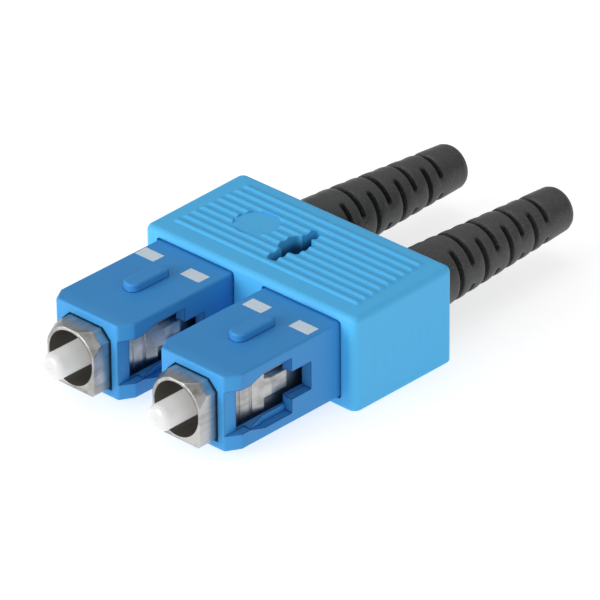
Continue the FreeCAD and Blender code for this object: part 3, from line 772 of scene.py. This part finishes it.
def spring(side):
    """A round wire wound about the plug's axis."""
    low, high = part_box(f"{side}_spring")
    start, length = low.y / MM + WIRE_R, (high.y - low.y) / MM - 2 * WIRE_R
    coil_r = (high.z - low.z) / MM / 2 - WIRE_R
    turns = WORKING_TURNS + 2 * DEAD_TURNS
    turn = np.linspace(0, turns, turns * STEPS_PER_TURN + 1)
    flat = DEAD_TURNS * DEAD_PITCH * WIRE_R
    along = np.interp(turn, [0, DEAD_TURNS, turns - DEAD_TURNS, turns],
                      [0, flat, length - flat, length])
    angle = 2 * math.pi * turn
    outward = np.stack([np.cos(angle), np.zeros_like(angle), np.sin(angle)], -1)
    centre = coil_r * outward
    centre[:, 1] = start + along
    centre += [AXIS[side].x / MM, 0, AXIS_Z / MM]
    round_wire = np.linspace(0, 2 * math.pi, WIRE_COLUMNS, endpoint=False)[None, :, None]
    rings = centre[:, None] + WIRE_R * (outward[:, None] * np.cos(round_wire)
                                        + np.array([0, 1, 0]) * np.sin(round_wire))
    piece = loft(f"{side}_spring_coil", rings, SPRING_WIRE, False)
    declare(piece, f"{side}_plug", "spring_steel", f"{side}_spring")
    travel = next(j["range_m"][1] for j in frame["joints"] if j["name"] == f"{side}_ferrule_float")
    whole = high.y - low.y
    (whole - travel) / whole
    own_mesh(piece)
    return piece


for side in SIDES:
    print(spring(side).name, "keeps its place in the", side, "plug")

# %% [markdown]
# Each ferrule is turned again here with a finer outline than the CAD mesh has: the polished tip
# is very slightly domed, and the lead-in behind it is round, not a cone, so that it can't scrape
# the adapter's sleeve.

# %% Ferrules
FERRULE_R = 1.25
TIP_FLAT_R = 0.62
LEAD_L = 0.62
TIP_DOME = 0.03
GROOVE_FROM, GROOVE_TO, GROOVE_DEEP = 7.5, 8.1, 0.18
REAR_EDGE = 0.15
FERRULE_COLUMNS = 96


def ferrule(side):
    """A turned pin: domed tip, rounded lead-in, and the groove that lies hidden in its holder."""
    low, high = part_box(f"{side}_ferrule")
    front, end = low.y / MM, high.y / MM
    dome = np.linspace(0, 1, 8)
    dome_r, dome_y = TIP_FLAT_R * dome, front + TIP_DOME * dome ** 2
    swing = np.linspace(0, 1, 14)[1:]
    lead_r = TIP_FLAT_R + (FERRULE_R - TIP_FLAT_R) * np.sin(swing * math.pi / 2) ** 0.9
    lead_y = front + TIP_DOME + (LEAD_L - TIP_DOME) * (1 - np.cos(swing * math.pi / 2)) ** 0.85
    groove_r = FERRULE_R - GROOVE_DEEP
    back = [(FERRULE_R, front + GROOVE_FROM), (groove_r, front + GROOVE_FROM),
            (groove_r, front + GROOVE_TO), (FERRULE_R, front + GROOVE_TO),
            (FERRULE_R, end - REAR_EDGE), (FERRULE_R - REAR_EDGE, end)]
    radii = np.concatenate([[0.001], dome_r[1:], lead_r, [r for r, _ in back]])
    along = np.concatenate([[front], dome_y[1:], lead_y, [y for _, y in back]])
    centres = np.tile([AXIS[side].x / MM, AXIS_Z / MM], (len(along), 1))
    rings = rings_about(centres, radii[:, None] * np.ones((1, FERRULE_COLUMNS)), along,
                        FERRULE_COLUMNS)
    piece = loft(f"{side}_ferrule_pin", rings, WHITE_CERAMIC[side], False)
    return declare(piece, f"{side}_ferrule_unit", "ceramic", f"{side}_ferrule")


for side in SIDES:
    print(ferrule(side).name, "is turned")

# %% [markdown]
# Two white fields are pad-printed on each sleeve, one each side of the key.  The ink lies on the
# plastic as a film, with a slightly ragged outline.  A film is modelled as what it is, a very
# thin plate, and its finish lets the blue show through where the ink is thin.

# %% Printed fields
FIELD_FROM, FIELD_TO = 10.12, 11.5
FIELD_IN, FIELD_OUT = 1.62, 3.88
INK_THICK, INK_SUNK = 0.015, 0.01
POINT_STEP, RAGGED = 0.12, 0.012
INK = (0.70, 0.78, 0.84)
INK_THIN = (0.56, 0.67, 0.77)
FIELD_SHIFT = {"left": (-0.35, 0.13), "right": (0.10, -0.05)}


def ink_finish():
    """Cloudy white, with specks where the blue below shows through."""
    finish = Finish("white_ink", Specular_IOR_Level=0.3)
    cloudy = finish.noise(0.5, 4.0)
    specks = finish.noise(0.14, 2.0).over(0.62, 0.74)
    base = finish.mix(cloudy, INK_THIN, INK)
    colour = finish.mix(specks * 0.35, base, SLEEVE_EDGE)
    return finish.shade(colour, 0.5 + 0.15 * cloudy, cloudy * 0.5, 0.01)


WHITE_INK = ink_finish()


def ragged_outline(x0, x1, y0, y1, seed):
    """Points round a rectangle, each a hair off the straight line; the seed fixes them."""
    random = np.random.default_rng(seed)
    corners = [(x0, y0), (x1, y0), (x1, y1), (x0, y1)]
    points = []
    for (xa, ya), (xb, yb) in zip(corners, corners[1:] + corners[:1]):
        count = max(4, int(math.hypot(xb - xa, yb - ya) / POINT_STEP))
        for step in range(count):
            share = step / count
            off_x, off_y = random.normal(0, RAGGED, 2)
            points.append((xa + (xb - xa) * share + off_x, ya + (yb - ya) * share + off_y))
    return points


def printed_field(side, name, x0, x1, seed):
    """A thin plate on top of the sleeve, sunk into it by a hair so that no gap shows."""
    shift_x, shift_y = FIELD_SHIFT[side]
    y_from, y_to = (SLEEVE_FRONT / MM + shift_y + y for y in (FIELD_FROM, FIELD_TO))
    x0, x1 = x0 + shift_x, x1 + shift_x
    outline = ragged_outline(x0, x1, y_from, y_to, seed)
    work = bmesh.new()
    base_z = SLEEVE_TOP / MM - INK_SUNK
    rim = [work.verts.new(Vector((x, y, base_z)) * MM) for x, y in outline]
    field = work.faces.new(rim)
    raised = bmesh.ops.extrude_face_region(work, geom=[field])["geom"]
    lifted = [part for part in raised if isinstance(part, bmesh.types.BMVert)]
    lift = Vector((0, 0, INK_SUNK + INK_THICK)) * MM
    bmesh.ops.translate(work, verts=lifted, vec=lift)
    bmesh.ops.recalc_face_normals(work, faces=work.faces)
    mesh = bpy.data.meshes.new(name)
    work.to_mesh(mesh)
    work.free()
    mesh.materials.append(WHITE_INK)
    piece = bpy.data.objects.new(name, mesh)
    bpy.context.scene.collection.objects.link(piece)
    return declare(piece, "case", "ceramic")


for side in SIDES:
    middle = AXIS[side].x / MM
    for number, (x0, x1) in enumerate(((-FIELD_OUT, -FIELD_IN), (FIELD_IN, FIELD_OUT))):
        name = f"{side}_print_{'inner' if (number == 1) == (side == 'left') else 'outer'}"
        print(printed_field(side, name, middle + x0, middle + x1, 7 + number).name, "is printed")

# %% [markdown]
# The other inner pieces keep their CAD mesh, whose shape is right, and only get their finish.

# %% Finishes on the inner CAD pieces
INNER = {"ferrule_holder": TURNED_METAL, "fibre_liner": MILKY_TUBE,
         "spring_stop": TURNED_METAL, "crimp_sleeve": CRIMP_METAL}
for side in SIDES:
    for piece, finish in INNER.items():
        materials = frame["nodes"][f"{side}_{piece}"].data.materials
        materials.clear()
        materials.append(finish)
print("inner pieces:", ", ".join(INNER))

# %% [markdown]
# Things for a catalogue are lit by large white panels: a broad one in front, which makes the front
# faces the brightest, a weak one overhead and a weak one at the side.  The pale room around them
# gives the metal something to mirror, and it is dimmer behind the plug than behind the camera, so
# that the metal darkens towards its far edges.

# %% Light and room
WALL_BEHIND, WALL_IN_FRONT = 0.34, 0.66
GRADED_TO = 0.6


def panel(name, place, size, power):
    """A square light that faces the object."""
    light = bpy.data.lights.new(name, "AREA")
    light.size = size
    light.energy = power
    lamp = bpy.data.objects.new(name, light)
    lamp.location = place
    lamp.rotation_euler = (TARGET - Vector(place)).to_track_quat("-Z", "Y").to_euler()
    bpy.context.scene.collection.objects.link(lamp)


panel("front_panel", (-0.15, -0.45, 0.12), 0.30, 1.7)
panel("top_panel", (-0.10, 0.10, 0.50), 0.30, 0.25)
panel("side_panel", (0.45, 0.10, 0.20), 0.25, 0.22)


def studio_walls(behind, in_front):
    """A pale room: its far wall is dimmer than the one behind the camera."""
    sky = bpy.data.worlds.new("studio")
    sky.use_nodes = True
    nodes, links = sky.node_tree.nodes, sky.node_tree.links
    ramp = nodes.new("ShaderNodeMapRange")
    for label, value in (("From Min", GRADED_TO), ("From Max", -GRADED_TO), ("To Min", behind),
                         ("To Max", in_front)):
        ramp.inputs[label].default_value = value
    parts = nodes.new("ShaderNodeSeparateXYZ")
    links.new(nodes.new("ShaderNodeTexCoord").outputs["Generated"], parts.inputs[0])
    links.new(parts.outputs["Y"], ramp.inputs["Value"])
    links.new(ramp.outputs[0], nodes["Background"].inputs["Strength"])
    nodes["Background"].inputs["Color"].default_value = (1.0, 1.0, 1.0, 1.0)
    return sky


bpy.context.scene.world = studio_walls(WALL_BEHIND, WALL_IN_FRONT)
bpy.context.scene.view_settings.view_transform = "Standard"
print("room:", WALL_BEHIND, "behind the plug and", WALL_IN_FRONT, "in front of it")

# %% [markdown]
# The floor is a light table: a plain pale sheet that glows a little by itself.  That keeps the
# shadow under the plug faint and throws some light up its sides.  It lies a hair under the clip,
# because two faces in one plane would show through each other in patches.

# %% Floor
UNDER_PART = 0.02 * MM
floor_finish = Finish("pale_floor", Roughness=0.8, Emission_Strength=0.68,
                      Emission_Color=(1.0, 1.0, 1.0, 1.0))
floor_tone = floor_finish.mix(floor_finish.noise(40.0), (0.52, 0.52, 0.52), (0.55, 0.55, 0.55))
bpy.ops.mesh.primitive_plane_add(size=2.4, location=(0, 0, CAD_BOX[0][2] - UNDER_PART))
floor = bpy.context.object
floor.name = "floor"
floor.data.materials.append(floor_finish.shade(floor_tone))
print("floor at z", round(floor.location.z / MM, 2), "mm")
